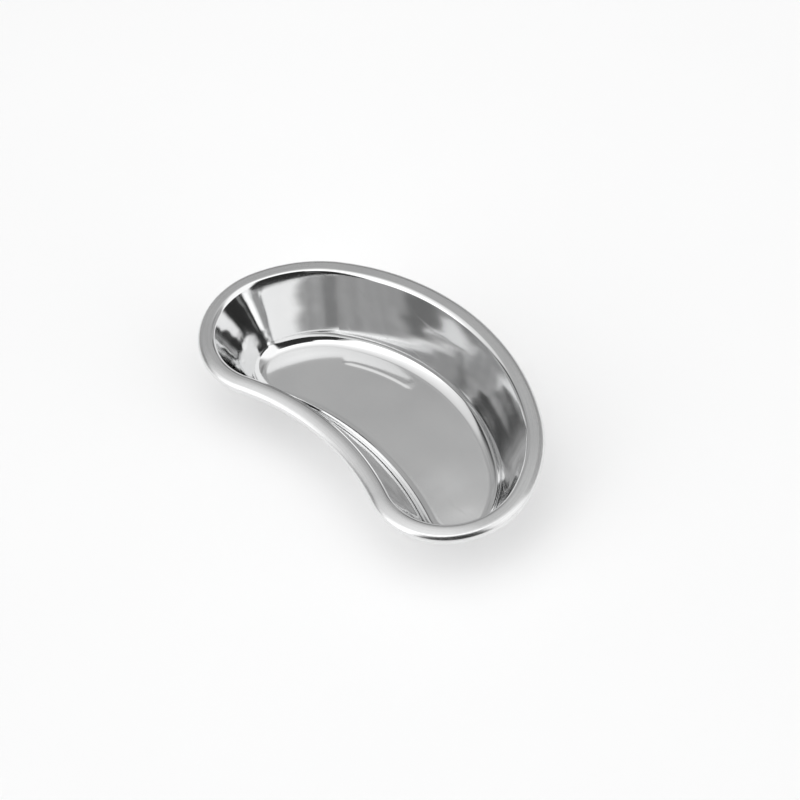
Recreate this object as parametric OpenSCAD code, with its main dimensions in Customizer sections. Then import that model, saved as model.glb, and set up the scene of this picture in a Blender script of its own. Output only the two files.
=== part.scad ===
// Kidney dish: one drawn sheet with a flat base, sloping walls, a flange and a turned-down edge.
// Origin: centre of the bounding box in plan, at the underside of the base. +X runs along the
// length, +Y points to the outward-curving side, +Z is up. Millimetres.

/* [Dish] */
// Overall height, underside of the base to the top of the flange
dish_h = 44; // [30:1:58]
// Radius of the two rounded ends over the edge: all sides move out together as it grows
end_r = 49.4; // [46:0.1:58]
// Sheet thickness
sheet_t = 0.8; // [0.5:0.1:1.2]

/* [Rim] */
// Width from the outside of the edge to the start of the inner lip's bend
rim_w = 7.9; // [6:0.1:10]
// Inner lip's bend radius, on the upper face
lip_r = 3; // [2:0.1:4]
// Edge's bend radius, on the outer face
edge_r = 3.6; // [2:0.1:4.5]
// Straight length of the turned-down edge below its bend
skirt_h = 1; // [0.4:0.1:3]

/* [Wall and base] */
// Lean of the wall, from upright
wall_lean = 24.5; // [15:0.5:27]
// Radius between the wall and the base, on the inner face
base_r = 9; // [6:0.5:12]

/* [Hidden] */
$fn = 96;
// The outline is made of arcs that run smoothly into each other, so each pair's centres lie on one
// line through the point where the arcs meet. These are the lines' directions, as exact decimals.
front_dir = [0.5376, 0.8432];
side_dir = [0.936, 0.352];
hollow_dir = [0.352, 0.936];
// distances between neighbouring centres: front to shoulder, shoulder to end, end to hollow side
front_step = 71;
side_step = 40;
hollow_step = 214.8;
front_c = [0, 0];
shoulder_c = front_c + front_step * front_dir;
end_c = shoulder_c + side_step * side_dir;
hollow_c = [0, end_c.y - hollow_step * hollow_dir.y];
shoulder_r = end_r + side_step;
front_r = shoulder_r + front_step;
hollow_r = hollow_step - end_r;
shift_y = (end_r - end_c.y - front_r) / 2;
// corners of the sheet's section: x is measured outwards from the outside of the edge
lip_c = [-rim_w, dish_h - lip_r];
edge_c = [-edge_r, dish_h - edge_r];
wall_top = lip_c + lip_r * [-cos(wall_lean), sin(wall_lean)];
wall_foot_z = sheet_t + base_r * (1 - sin(wall_lean));
wall_foot = [wall_top.x - (wall_top.y - wall_foot_z) * tan(wall_lean), wall_foot_z];
base_c = [wall_foot.x - base_r * cos(wall_lean), sheet_t + base_r];
wall_out = sheet_t * [cos(wall_lean), -sin(wall_lean)];
// the flat base is one plate, which the swept section overlaps by this much
plate_lap = 2;
reach = 250;

// moves by whole millimetres, then by the rest, so that every decimal of a centre is kept
module at(centre) {
    whole = [floor(centre.x), floor(centre.y)];
    translate(whole) translate(centre - whole) children();
}

// part of a circle around the origin, from one direction to another
module pie(radius, from_dir, to_dir) {
    mid = from_dir + to_dir;
    intersection() {
        circle(r = radius);
        polygon([
            [0, 0],
            2 * radius * from_dir,
            2 * radius * mid / norm(mid),
            2 * radius * to_dir
        ]);
    }
}

// bent strip of the section: a ring sector as thick as the sheet
module bend(centre, outside, from, to) {
    translate(centre)
        difference() {
            pie(outside, [cos(from), sin(from)], [cos(to), sin(to)]);
            circle(r = outside - sheet_t);
        }
}

// section of the sheet from the base's edge, up the wall and over the rim
module sheet_section() {
    translate([base_c.x - plate_lap, 0]) square([plate_lap, sheet_t]);
    bend(base_c, base_r + sheet_t, -90, -wall_lean);
    polygon([wall_foot, wall_foot + wall_out, wall_top + wall_out, wall_top]);
    bend(lip_c, lip_r, 90, 180 - wall_lean);
    translate([lip_c.x, dish_h - sheet_t]) square([edge_c.x - lip_c.x, sheet_t]);
    bend(edge_c, edge_r, 0, 90);
    translate([-sheet_t, edge_c.y - skirt_h]) square([sheet_t, skirt_h]);
}

// the arc areas of the outline, each seen from its own centre
module front_area() {
    polygon([[0, 0], reach * front_dir, reach * [-front_dir.x, front_dir.y]]);
}

module shoulder_area() {
    polygon([[0, 0], reach * front_dir, reach * side_dir]);
}

module end_area() {
    polygon([[0, 0], reach * side_dir, reach * [side_dir.x, -hollow_dir.y], -reach * hollow_dir]);
}

module hollow_area() {
    polygon([[0, 0], reach * hollow_dir, reach * [-hollow_dir.x, hollow_dir.y]]);
}

// the section swept round one outward-curving arc, over the area given as a child
module round_arc(radius) {
    intersection() {
        rotate_extrude() translate([radius, 0]) sheet_section();
        translate([0, 0, -1]) linear_extrude(dish_h + 2) children();
    }
}

// the section swept along the hollow side, with its outer edge turned inwards
module hollow_arc() {
    intersection() {
        rotate_extrude() translate([hollow_r, 0]) mirror([1, 0]) sheet_section();
        translate([0, 0, -1]) linear_extrude(dish_h + 2) hollow_area();
    }
}

// part of a disc over the area given as a child
module disc_area(radius) {
    intersection() {
        circle(r = radius);
        children();
    }
}

// flat kidney shape, offset by d from the outside of the edge
module kidney(d) {
    difference() {
        union() {
            at(front_c) disc_area(front_r + d) front_area();
            for (side = [0, 1])
                mirror([side, 0]) {
                    at(shoulder_c) disc_area(shoulder_r + d) shoulder_area();
                    at(end_c) circle(r = end_r + d);
                    polygon([front_c, shoulder_c, end_c, hollow_c]);
                }
        }
        at(hollow_c) circle(r = hollow_r - d);
    }
}

module kidney_dish() {
    color([0.78, 0.79, 0.8])
        translate([0, shift_y, 0]) {
            linear_extrude(sheet_t) kidney(base_c.x - plate_lap / 2);
            at(front_c) round_arc(front_r) front_area();
            at(hollow_c) hollow_arc();
            for (side = [0, 1])
                mirror([side, 0, 0]) {
                    at(shoulder_c) round_arc(shoulder_r) shoulder_area();
                    at(end_c) round_arc(end_r) end_area();
                }
        }
}

kidney_dish();
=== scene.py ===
"""Kidney dish: a smooth drawn-steel sheet in place of the CAD node, a pale floor and soft studio light."""

import math

import bpy
from mathutils import Matrix, Vector


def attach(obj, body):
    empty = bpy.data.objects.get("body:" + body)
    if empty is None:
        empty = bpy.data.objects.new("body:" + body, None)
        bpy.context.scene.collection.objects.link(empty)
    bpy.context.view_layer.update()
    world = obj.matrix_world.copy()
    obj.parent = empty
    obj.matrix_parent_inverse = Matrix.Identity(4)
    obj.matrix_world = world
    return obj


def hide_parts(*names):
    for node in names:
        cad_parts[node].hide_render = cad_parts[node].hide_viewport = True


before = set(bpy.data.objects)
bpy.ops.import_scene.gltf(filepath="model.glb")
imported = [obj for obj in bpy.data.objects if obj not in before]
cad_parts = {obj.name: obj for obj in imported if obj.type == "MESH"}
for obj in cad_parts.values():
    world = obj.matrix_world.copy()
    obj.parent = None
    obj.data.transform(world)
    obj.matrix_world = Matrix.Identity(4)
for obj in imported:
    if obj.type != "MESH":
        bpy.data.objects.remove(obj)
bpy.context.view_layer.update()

MM = 0.001

# ---------------------------------------------------------------- outline, as in the CAD, in mm

END_R, SIDE_STEP, FRONT_STEP, HOLLOW_STEP = 49.4, 40.0, 71.0, 214.8
FRONT_DIR = Vector((0.5376, 0.8432))
SIDE_DIR = Vector((0.936, 0.352))
HOLLOW_DIR = Vector((0.352, 0.936))
FRONT_C = Vector((0.0, 0.0))
SHOULDER_C = FRONT_DIR * FRONT_STEP
END_C = SHOULDER_C + SIDE_DIR * SIDE_STEP
HOLLOW_C = Vector((0.0, END_C.y - HOLLOW_STEP * HOLLOW_DIR.y))
SHOULDER_R = END_R + SIDE_STEP
FRONT_R = SHOULDER_R + FRONT_STEP
HOLLOW_R = HOLLOW_STEP - END_R
SHIFT_Y = (END_R - END_C.y - FRONT_R) / 2
STEP = 1.1  # spacing of the sections along the outline
INSET = 0.02  # keeps the finer curves inside the CAD's coarser box

# ---------------------------------------------------------------- section of the sheet, in mm

DISH_H, SHEET_T, RIM_W, LIP_R, EDGE_R, SKIRT_H = 44.0, 0.8, 7.9, 3.0, 3.6, 1.0
WALL_LEAN, BASE_R = math.radians(24.5), 9.0
CUT_R = 0.25  # the cut edge of the sheet is slightly rounded
# the flange is level at the lip and slopes down where it reaches the edge, most along the hollow side
FALL, HOLLOW_FALL = math.radians(1.0), math.radians(11.0)
# how far the outward direction points to -Y where the hollow side's slope begins, and the span it grows over
HOLLOW_FROM, HOLLOW_SPAN = 0.3, 0.6
FLAT_RING = 1.5  # a flat ring inside the base's bend keeps the base's shading flat
# a faint press mark in the base, along the front: how far in it lies, the width of its rise and its height
MARK_IN, MARK_RISE, MARK_H = 11.2, 2.4, 0.25
# the mark's two ends, as distances along the outline, and the length that each fades over
MARK_FROM, MARK_TO, MARK_FADE = 12.0, 74.0, 10.0
# the sheet's finish, from 0 where it is polished to 1 where it is brushed
POLISHED, OUTSIDE, FLANGE, BRUSHED = 0.0, 0.5, 0.6, 1.0


def smooth_step(u):
    """0 below 0, 1 above 1, and a smooth rise between them."""
    u = min(1.0, max(0.0, u))
    return u * u * (3 - 2 * u)


def mirrored(point):
    return Vector((-point.x, point.y))


def outline():
    """Stations round the dish, and the distance all the way round.

    A station is a point on the outside of the edge, the outward direction and the distance along."""
    front_a = math.atan2(FRONT_DIR.x, FRONT_DIR.y)
    side_a = math.atan2(SIDE_DIR.x, SIDE_DIR.y)
    end_a = math.pi + math.atan2(HOLLOW_DIR.x, HOLLOW_DIR.y)
    # centre, radius, first and last direction clockwise from +Y, and 1 where outward is away from the centre
    arcs = [
        (FRONT_C, FRONT_R, -front_a, front_a, 1),
        (SHOULDER_C, SHOULDER_R, front_a, side_a, 1),
        (END_C, END_R, side_a, end_a, 1),
        (HOLLOW_C, HOLLOW_R, end_a - math.pi, math.pi - end_a, -1),
        (mirrored(END_C), END_R, -end_a, -side_a, 1),
        (mirrored(SHOULDER_C), SHOULDER_R, -side_a, -front_a, 1),
    ]
    stations, along = [], 0.0
    for centre, radius, first, last, sign in arcs:
        count = max(8, round(abs(last - first) * radius / STEP))
        for i in range(count):
            angle = first + (last - first) * i / count
            direction = Vector((math.sin(angle), math.cos(angle)))
            stations.append((centre + direction * radius, direction * sign, along))
            along += abs(last - first) * radius / count
    return stations, along


def arc_points(centre, radius, first, last, count):
    """Points on an arc after its first one, between two angles in radians."""
    points = []
    for i in range(1, count + 1):
        angle = first + (last - first) * i / count
        points.append((centre[0] + radius * math.cos(angle), centre[1] + radius * math.sin(angle)))
    return points


def line_points(start, end, count):
    """Points on a straight line after its first one."""
    across, up = end[0] - start[0], end[1] - start[1]
    return [(start[0] + across * i / count, start[1] + up * i / count) for i in range(1, count + 1)]


def mark_insets():
    """Distances in from the base's bend at which the section has points, from the middle outwards."""
    top = MARK_IN - MARK_RISE
    rise = [MARK_IN - MARK_RISE * i / 8 for i in range(9)]
    slope = [top - (top - FLAT_RING) * i / 6 for i in range(1, 7)]
    return [MARK_IN + 1.0] + rise + slope + [0.0]


def mark_height(inset):
    """Height of the press mark at an inset from the base's bend: a short rise, then a long fall."""
    top = MARK_IN - MARK_RISE
    if inset >= top:
        u = min(1.0, (inset - top) / MARK_RISE)
    else:
        u = (top - inset) / (top - FLAT_RING)
    return MARK_H * (1 + math.cos(math.pi * u)) / 2


def mark_share(along):
    """1 between the press mark's two ends, fading to 0 beyond them."""
    return smooth_step(min(along - MARK_FROM, MARK_TO - along) / MARK_FADE + 0.5)


def section(fall):
    """The sheet's section as (x outward, z, finish), from the base's inside over the rim to its underside.

    fall is the flange's slope where it meets the edge."""
    lean_cos, lean_sin = math.cos(WALL_LEAN), math.sin(WALL_LEAN)
    quarter = math.pi / 2
    lip_c = (-RIM_W, DISH_H - LIP_R)
    flange_end = -EDGE_R + EDGE_R * math.sin(fall)
    flange_drop = math.tan(fall) * (flange_end - lip_c[0]) / 2
    edge_c = (-EDGE_R, DISH_H - flange_drop - EDGE_R * math.cos(fall))
    wall_top = (lip_c[0] - LIP_R * lean_cos, lip_c[1] + LIP_R * lean_sin)
    foot_z = SHEET_T + BASE_R * (1 - lean_sin)
    wall_foot = (wall_top[0] - (wall_top[1] - foot_z) * math.tan(WALL_LEAN), foot_z)
    base_c = (wall_foot[0] - BASE_R * lean_cos, SHEET_T + BASE_R)
    out_top = (wall_top[0] + SHEET_T * lean_cos, wall_top[1] - SHEET_T * lean_sin)
    out_foot = (wall_foot[0] + SHEET_T * lean_cos, wall_foot[1] - SHEET_T * lean_sin)
    skirt_z = edge_c[1] - SKIRT_H
    cut_out_c = (-CUT_R, skirt_z + CUT_R)
    cut_in_c = (-SHEET_T + CUT_R, skirt_z + CUT_R)

    def flange(share, down):
        """Point at a share of the flange's width, at a depth below its upper face."""
        return (lip_c[0] + (flange_end - lip_c[0]) * share, DISH_H - down - flange_drop * share * share)

    points = []

    def add(new, finish):
        points.extend((x, z, finish) for x, z in new)

    # the upper face
    add([(base_c[0] - d, SHEET_T + (mark_height(d) if d else 0.0)) for d in mark_insets()], POLISHED)
    add(arc_points(base_c, BASE_R, -quarter, -WALL_LEAN, 18), POLISHED)
    add(line_points(wall_foot, wall_top, 14), POLISHED)
    add(arc_points(lip_c, LIP_R, math.pi - WALL_LEAN, quarter, 16), POLISHED)
    add([flange(i / 8, 0.0) for i in range(1, 9)], FLANGE)
    # the edge, its skirt and the cut end of the sheet
    add(arc_points(edge_c, EDGE_R, quarter - fall, 0.0, 16), BRUSHED)
    add(line_points((0.0, edge_c[1]), (0.0, skirt_z + CUT_R), 2), BRUSHED)
    add(arc_points(cut_out_c, CUT_R, 0.0, -quarter, 4), BRUSHED)
    add([(cut_in_c[0], skirt_z)], BRUSHED)
    # the lower face, back to the base
    add(arc_points(cut_in_c, CUT_R, -quarter, -math.pi, 4), OUTSIDE)
    add(line_points((-SHEET_T, skirt_z + CUT_R), (-SHEET_T, edge_c[1]), 2), OUTSIDE)
    add(arc_points(edge_c, EDGE_R - SHEET_T, 0.0, quarter - fall, 12), OUTSIDE)
    add([flange(1 - i / 6, SHEET_T) for i in range(1, 7)], OUTSIDE)
    add(arc_points(lip_c, LIP_R - SHEET_T, quarter, math.pi - WALL_LEAN, 10), OUTSIDE)
    add(line_points(out_top, out_foot, 14), OUTSIDE)
    add(arc_points(base_c, BASE_R + SHEET_T, -WALL_LEAN, -quarter, 18), OUTSIDE)
    add([(base_c[0] - FLAT_RING, 0.0)], OUTSIDE)
    return points


# ---------------------------------------------------------------- the dish


def sheet_points(stations, profile):
    """Points of the sheet in metres, one section after another."""
    hollow_profile = section(HOLLOW_FALL)
    mark_points = len(mark_insets())
    points = []
    for foot, out, along in stations:
        hollow = smooth_step((-out.y - HOLLOW_FROM) / HOLLOW_SPAN)
        for j, ((x0, z0, _), (x1, z1, _)) in enumerate(zip(profile, hollow_profile)):
            x, z = x0 + (x1 - x0) * hollow, z0 + (z1 - z0) * hollow
            point = foot + out * (x - INSET)
            if j < mark_points:
                z = SHEET_T + (z - SHEET_T) * mark_share(along)
            points.append((point.x * MM, (point.y + SHIFT_Y) * MM, z * MM))
    return points


def sheet_faces(rings, width):
    """Four-sided faces between neighbouring sections, then the base's upper and lower face."""
    faces = []
    for i in range(rings):
        k = (i + 1) % rings
        for j in range(width - 1):
            faces.append((i * width + j, k * width + j, k * width + j + 1, i * width + j + 1))
    faces.append(tuple(i * width for i in range(rings))[::-1])
    faces.append(tuple(i * width + width - 1 for i in range(rings)))
    return faces


def add_sheet_uv(mesh, stations, total, profile):
    """Distance along the outline and across the sheet, in metres, for the brushed lines."""
    width = len(profile)
    across = [0.0]
    for (x0, z0, _), (x1, z1, _) in zip(profile, profile[1:]):
        across.append(across[-1] + math.hypot(x1 - x0, z1 - z0))
    uv = mesh.uv_layers.new(name="sheet")
    for poly in mesh.polygons:
        in_base = len(poly.vertices) > 4
        in_last_ring = poly.index // (width - 1) == len(stations) - 1
        for loop in poly.loop_indices:
            vertex = mesh.loops[loop].vertex_index
            i, j = divmod(vertex, width)
            if in_base:
                place = mesh.vertices[vertex].co
                uv.data[loop].uv = (place.x, place.y)
            else:
                along = total if i == 0 and in_last_ring else stations[i][2]
                uv.data[loop].uv = (along * MM, across[j] * MM)


def sheet_mesh():
    """The section swept round the outline, with the base's two faces closed."""
    stations, total = outline()
    profile = section(FALL)
    mesh = bpy.data.meshes.new("kidney_dish_sheet")
    mesh.from_pydata(sheet_points(stations, profile), [], sheet_faces(len(stations), len(profile)))
    add_sheet_uv(mesh, stations, total, profile)
    finish = mesh.attributes.new(name="finish", type="FLOAT", domain="POINT")
    for vertex in range(len(mesh.vertices)):
        finish.data[vertex].value = profile[vertex % len(profile)][2]
    for poly in mesh.polygons:
        poly.use_smooth = True
    mesh.validate()
    return mesh


def add_dish():
    dish = bpy.data.objects.new("kidney_dish_sheet", sheet_mesh())
    bpy.context.scene.collection.objects.link(dish)
    dish.data.materials.append(steel_material())
    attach(dish, "root")
    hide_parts("kidney_dish")


# ---------------------------------------------------------------- shader nodes


class Nodes:
    """A short way to add and link shader nodes. An input is a number, a tuple or another node's output."""

    def __init__(self, tree):
        self.tree = tree
        tree.nodes.clear()

    def add(self, kind, inputs=None, **props):
        node = self.tree.nodes.new(kind)
        for name, value in props.items():
            setattr(node, name, value)
        for key, value in (inputs or {}).items():
            if isinstance(value, bpy.types.NodeSocket):
                self.tree.links.new(value, node.inputs[key])
            else:
                node.inputs[key].default_value = value
        return node

    def math(self, op, a, b=0.0):
        return self.add("ShaderNodeMath", {0: a, 1: b}, operation=op).outputs[0]

    def line(self, value, slope, offset):
        return self.math("ADD", self.math("MULTIPLY", value, slope), offset)

    def length(self, a, b):
        squares = self.math("ADD", self.math("MULTIPLY", a, a), self.math("MULTIPLY", b, b))
        return self.math("SQRT", squares)

    def mix(self, mask, a, b):
        return self.add("ShaderNodeMix", {0: mask, 2: a, 3: b}).outputs[0]

    def mix_colour(self, mask, a, b):
        return self.add("ShaderNodeMix", {0: mask, 6: a, 7: b}, data_type="RGBA").outputs[2]

    def span(self, value, lo, hi, to_lo=0.0, to_hi=1.0, smooth=True):
        """Maps the range from lo to hi onto the range from to_lo to to_hi, and stays level beyond it."""
        kind = "SMOOTHSTEP" if smooth else "LINEAR"
        inputs = {"Value": value, 1: lo, 2: hi, 3: to_lo, 4: to_hi}
        return self.add("ShaderNodeMapRange", inputs, interpolation_type=kind).outputs[0]

    def noise(self, vector, scale, detail=2.0, roughness=0.5):
        inputs = {"Vector": vector, "Scale": scale, "Detail": detail, "Roughness": roughness}
        return self.add("ShaderNodeTexNoise", inputs).outputs["Fac"]

    def stretched_noise(self, vector, scale, detail, roughness, turn=0.0):
        """Noise with its own scale along each axis, after a turn around Z."""
        inputs = {"Vector": vector, "Scale": scale, "Rotation": (0.0, 0.0, turn)}
        mapped = self.add("ShaderNodeMapping", inputs).outputs[0]
        return self.noise(mapped, 1.0, detail, roughness)

    def bump(self, height, distance, below=None, strength=1.0):
        """Adds a bump with a distance in metres to the normal of the bumps below it."""
        inputs = {"Strength": strength, "Distance": distance, "Height": height}
        if below is not None:
            inputs["Normal"] = below
        return self.add("ShaderNodeBump", inputs).outputs[0]


# ---------------------------------------------------------------- materials

# turn in radians, and scale across the scratches
SCRATCHES = ((0.35, 900.0), (1.45, 1150.0), (2.5, 760.0))
SCRATCH_ALONG = 28.0
# linear colours, and how much of the worn one shows in the brushed lines
STEEL_DULL, STEEL_BRIGHT = (0.8, 0.805, 0.81, 1.0), (0.87, 0.87, 0.868, 1.0)
STEEL_WORN, WORN_SHARE = (0.6, 0.6, 0.605, 1.0), 0.17
# roughness where the sheet is polished, and what smudges and scratches add to it
POLISHED_ROUGH, SMUDGE_ROUGH, SCRATCH_ROUGH = 0.055, 0.05, 0.06
# roughness where the sheet is brushed, and what the brushed lines add to it
BRUSHED_ROUGH, LINE_ROUGH = 0.15, 0.2
# heights of the bumps, in metres
WAVE_H, DRAWN_H, RIPPLE_H, BRUSHED_H, FINE_H = 0.0004, 0.00045, 0.000022, 0.000014, 0.000003
# height over which the wall's own bumps fade in above the base, in metres
WALL_FROM, WALL_FULL = 0.002, 0.008
FLOOR_DULL, FLOOR_BRIGHT = (0.9, 0.9, 0.9, 1.0), (0.93, 0.93, 0.93, 1.0)


def scratch_lines(g, place):
    """Hairline scratches of use and cleaning, in three directions across the inside."""
    scratches = None
    for turn, stretch in SCRATCHES:
        scale = (SCRATCH_ALONG, stretch, SCRATCH_ALONG)
        fibre = g.span(g.stretched_noise(place, scale, 2.0, 0.55, turn), 0.66, 0.74)
        scratches = fibre if scratches is None else g.math("MAXIMUM", scratches, fibre)
    return scratches


def steel_material():
    """Polished steel inside, brushed along the rim, by the sheet's finish."""
    mat = bpy.data.materials.new("stainless_steel")
    mat.use_nodes = True
    g = Nodes(mat.node_tree)
    coord = g.add("ShaderNodeTexCoord")
    place, sheet = coord.outputs["Object"], coord.outputs["UV"]
    finish = g.add("ShaderNodeAttribute", attribute_name="finish").outputs["Fac"]

    # fine lines that run along the rim, from turning and brushing it, and shorter marks across them
    lines = g.stretched_noise(sheet, (18.0, 1300.0, 1.0), 5.0, 0.7)
    long_lines = g.stretched_noise(sheet, (7.0, 750.0, 1.0), 2.0, 0.5)
    across = g.stretched_noise(sheet, (620.0, 110.0, 1.0), 3.0, 0.6)
    scratches = scratch_lines(g, place)
    smudge = g.noise(place, 38.0, 4.0, 0.55)
    grain = g.noise(place, 5200.0, 2.0, 0.6)

    rough_in = g.math("ADD", g.math("MULTIPLY", smudge, SMUDGE_ROUGH), POLISHED_ROUGH)
    rough_in = g.math("ADD", rough_in, g.math("MULTIPLY", scratches, SCRATCH_ROUGH))
    rough = g.mix(finish, rough_in, g.line(lines, LINE_ROUGH, BRUSHED_ROUGH))

    colour = g.mix_colour(smudge, STEEL_DULL, STEEL_BRIGHT)
    streaks = g.math("ADD", g.span(lines, 0.35, 0.7), g.span(long_lines, 0.4, 0.7))
    streaks = g.math("ADD", streaks, g.math("MULTIPLY", g.span(across, 0.4, 0.75), 0.7))
    worn = g.math("MULTIPLY", g.math("MULTIPLY", streaks, finish), WORN_SHARE)
    colour = g.mix_colour(worn, colour, STEEL_WORN)

    # the sheet isn't quite even: long soft waves, the marks of drawing round the wall, small ripples,
    # then the brushed lines, scratches and grain
    on_wall = g.span(g.add("ShaderNodeSeparateXYZ", {0: place}).outputs[2], WALL_FROM, WALL_FULL)
    drawn = g.math("MULTIPLY", g.stretched_noise(sheet, (6.0, 58.0, 1.0), 1.0, 0.4), on_wall)
    ripple = g.math("MULTIPLY", g.noise(place, 70.0, 1.0, 0.4), on_wall)
    brushed = g.math("MULTIPLY", g.math("ADD", lines, long_lines), finish)
    fine = g.math("ADD", g.math("MULTIPLY", scratches, -0.9), g.math("MULTIPLY", grain, 0.45))
    normal = g.bump(g.noise(place, 17.0, 1.0, 0.4), WAVE_H)
    normal = g.bump(drawn, DRAWN_H, normal)
    normal = g.bump(ripple, RIPPLE_H, normal)
    normal = g.bump(brushed, BRUSHED_H, normal)
    normal = g.bump(fine, FINE_H, normal, strength=0.8)

    inputs = {"Base Color": colour, "Metallic": 1.0, "Roughness": rough, "Normal": normal}
    shader = g.add("ShaderNodeBsdfPrincipled", inputs)
    g.add("ShaderNodeOutputMaterial", {"Surface": shader.outputs[0]})
    return mat


def floor_material():
    """Pale paper with a slight cloudiness."""
    mat = bpy.data.materials.new("floor_paper")
    mat.use_nodes = True
    g = Nodes(mat.node_tree)
    place = g.add("ShaderNodeTexCoord").outputs["Object"]
    colour = g.mix_colour(g.noise(place, 3.0, 3.0), FLOOR_DULL, FLOOR_BRIGHT)
    shader = g.add("ShaderNodeBsdfPrincipled", {"Base Color": colour, "Roughness": 0.9})
    g.add("ShaderNodeOutputMaterial", {"Surface": shader.outputs[0]})
    return mat


# ---------------------------------------------------------------- camera, as fitted to the rim's outline

CAMERA_AT = Vector((0.7033, -0.4593, 1.0916))
LOOK_AT = Vector((0.0190, -0.0058, 0.0431))
ROLL = math.radians(11.33)
LENS, SENSOR = 103.5, 36.0


def add_camera():
    data = bpy.data.cameras.new("camera")
    data.lens, data.sensor_width = LENS, SENSOR
    data.clip_start, data.clip_end = 0.01, 50.0
    camera = bpy.data.objects.new("camera", data)
    turn = (LOOK_AT - CAMERA_AT).to_track_quat("-Z", "Y").to_matrix()
    turn = turn @ Matrix.Rotation(-ROLL, 3, "Z")
    camera.matrix_world = Matrix.Translation(CAMERA_AT) @ turn.to_4x4()
    bpy.context.scene.collection.objects.link(camera)
    bpy.context.scene.camera = camera


# ---------------------------------------------------------------- studio

# brightness of the back wall, of the soft box at its back edge, further up and overhead, and on the right
BACK_LEVEL, EDGE_LEVEL, RISE_LEVEL, BOX_LEVEL, SIDE_LEVEL = 0.42, 0.74, 1.1, 1.5, 1.15
# brightness of the dark gap, of the glow in it, and of the curtain
DARK_LEVEL, GLOW_LEVEL, CURTAIN_LEVEL = 0.03, 0.22, 0.06
# the back wall is a little cloudy: its darkest and brightest parts, as shares of its level
CLOUD_LOW, CLOUD_HIGH = 0.78, 1.24
BOX_EDGE = -34.0  # tilt of the soft box's back edge
# spots on the back wall, in degrees: tilt, aside, half height, half width, then softness and level
BACK_SPOTS = (
    (-61.0, 12.0, 6.0, 7.0, 0.2, DARK_LEVEL),
    (-60.0, 33.0, 9.0, 8.0, 0.4, 0.15),
    (-60.0, -2.0, 8.0, 9.0, 0.3, 0.2),
    (-31.0, 30.0, 9.0, 8.0, 0.45, 0.27),
    (-35.2, 0.9, 0.5, 0.65, 0.4, 0.9),
)
# the lamp and the floor, in metres and watts
LAMP_SIZE, LAMP_HEIGHT, LAMP_ENERGY = 2.4, 1.8, 16.0
FLOOR_HALF = 12.0
FLOOR_DROP = 0.00005  # keeps the floor just clear of the dish's base


class Studio(Nodes):
    """Nodes of the light from all round, with two angles in degrees that say where it comes from.

    tilt is the angle from overhead towards the camera's side, and aside the angle to its right."""

    def __init__(self, tree):
        super().__init__(tree)
        self.direction = self.add("ShaderNodeTexCoord").outputs["Generated"]
        front = (CAMERA_AT - LOOK_AT).xy.normalized()
        front_part, up_part = self.along((front.x, front.y, 0.0)), self.along((0.0, 0.0, 1.0))
        right_part = self.along((-front.y, front.x, 0.0))
        self.tilt = self.degrees(front_part, up_part)
        self.aside = self.degrees(right_part, self.length(front_part, up_part))

    def along(self, axis):
        inputs = {0: self.direction, 1: axis}
        return self.add("ShaderNodeVectorMath", inputs, operation="DOT_PRODUCT").outputs["Value"]

    def degrees(self, y, x):
        return self.math("MULTIPLY", self.math("ARCTAN2", y, x), 180.0 / math.pi)

    def above(self, value, edge, soft):
        """1 where value is over edge, 0 where it is under, and a soft change between them."""
        return self.span(self.math("SUBTRACT", value, edge), -soft, soft)

    def patch(self, tilt, aside, half_height, half_width, soft=0.15):
        """1 inside a soft elliptical spot."""
        up = self.line(self.tilt, 1 / half_height, -tilt / half_height)
        across = self.line(self.aside, 1 / half_width, -aside / half_width)
        return self.span(self.length(up, across), 1 + soft, 1 - soft)


def back_wall(g):
    """The grey wall behind, with its spots, and a dark curtain to its far left."""
    clouds = g.noise(g.direction, 20.0, 3.0)
    wall = g.span(clouds, 0.3, 0.7, BACK_LEVEL * CLOUD_LOW, BACK_LEVEL * CLOUD_HIGH, smooth=False)
    curtain = g.above(g.tilt, g.line(g.aside, -0.5, -74.5), 1.5)
    curtain = g.math("MULTIPLY", curtain, g.above(g.aside, -70.0, 3.0))
    curtain = g.math("MULTIPLY", curtain, g.above(-36.0, g.aside, 12.0))
    wall = g.mix(curtain, wall, CURTAIN_LEVEL)
    for tilt, aside, half_height, half_width, soft, level in BACK_SPOTS:
        wall = g.mix(g.patch(tilt, aside, half_height, half_width, soft), wall, level)
    return wall


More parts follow.
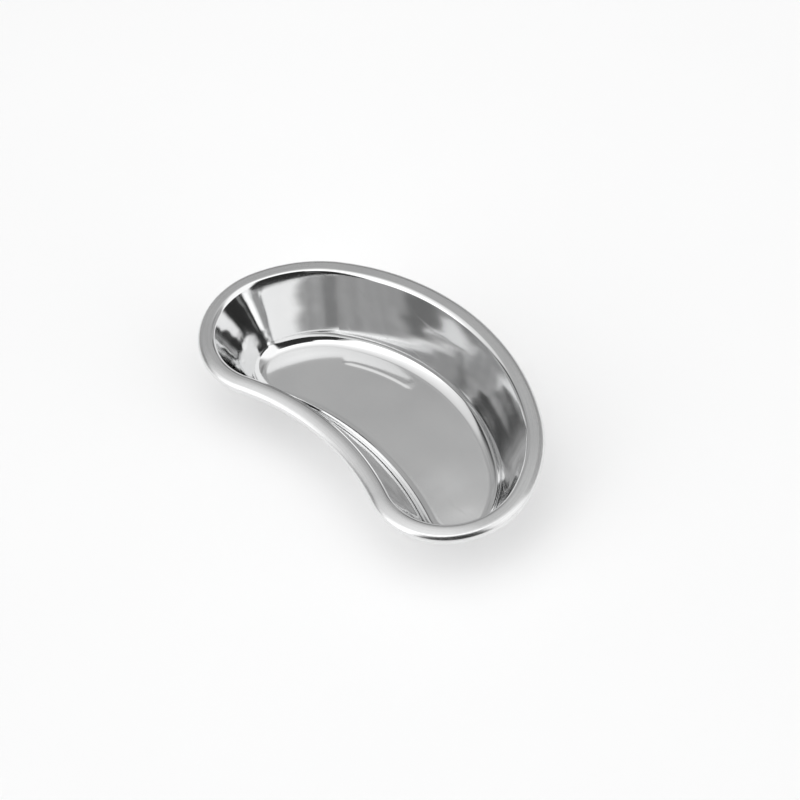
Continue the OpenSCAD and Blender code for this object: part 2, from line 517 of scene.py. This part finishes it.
def room(g):
    """The back wall and the soft box, which grows brighter overhead and fades in slowly on the right."""
    wall = back_wall(g)
    rise = g.span(g.tilt, BOX_EDGE, -8.0, EDGE_LEVEL, RISE_LEVEL, smooth=False)
    box = g.math("ADD", rise, g.span(g.tilt, -10.0, 6.0, 0.0, BOX_LEVEL - RISE_LEVEL))
    left = g.mix(g.above(g.tilt, BOX_EDGE, 2.0), wall, box)
    right = g.mix(g.above(g.tilt, g.line(g.aside, 0.62, -28.0), 10.0), wall, SIDE_LEVEL)
    return g.mix(g.above(g.aside, 9.0, 6.0), left, right)


def front_gap(g):
    """1 in the dark gap on the camera's side, which widens downwards."""
    left_edge = g.math("MAXIMUM", g.line(g.tilt, -0.5, -17.0), -52.0)
    right_edge = g.line(g.tilt, 0.3, 5.0)
    gap = g.math("MULTIPLY", g.above(g.aside, left_edge, 4.0), g.above(right_edge, g.aside, 4.0))
    top = g.mix(g.patch(20.0, 0.0, 60.0, 11.0), 24.0, 15.0)
    return g.math("MULTIPLY", gap, g.above(g.tilt, top, 4.0))


def studio_world():
    """Light from all round, as in a photographer's tent with a gap at the front."""
    world = bpy.data.worlds.new("studio")
    world.use_nodes = True
    g = Studio(world.node_tree)
    gap_level = g.mix(g.patch(58.0, -20.0, 4.0, 6.0), DARK_LEVEL, GLOW_LEVEL)
    level = g.mix(front_gap(g), room(g), gap_level)
    background = g.add("ShaderNodeBackground", {"Color": (1, 1, 1, 1), "Strength": level})
    g.add("ShaderNodeOutputWorld", {"Surface": background.outputs[0]})
    bpy.context.scene.world = world


def add_floor_light():
    """A wide lamp that lights the floor evenly and stays out of the steel's reflections."""
    data = bpy.data.lights.new("floor_light", "AREA")
    data.shape, data.size = "DISK", LAMP_SIZE
    data.energy = LAMP_ENERGY
    data.use_shadow = False
    lamp = bpy.data.objects.new("floor_light", data)
    lamp.location.z = LAMP_HEIGHT
    lamp.visible_glossy = False
    bpy.context.scene.collection.objects.link(lamp)


def add_floor():
    mesh = bpy.data.meshes.new("floor")
    corners = [(x * FLOOR_HALF, y * FLOOR_HALF, 0.0) for x, y in ((-1, -1), (1, -1), (1, 1), (-1, 1))]
    mesh.from_pydata(corners, [], [(0, 1, 2, 3)])
    floor = bpy.data.objects.new("floor", mesh)
    floor.location.z = -FLOOR_DROP
    floor.data.materials.append(floor_material())
    bpy.context.scene.collection.objects.link(floor)


add_dish()
add_camera()
studio_world()
add_floor_light()
add_floor()
bpy.context.scene.view_settings.view_transform = "Standard"

bpy.context.view_layer.update()
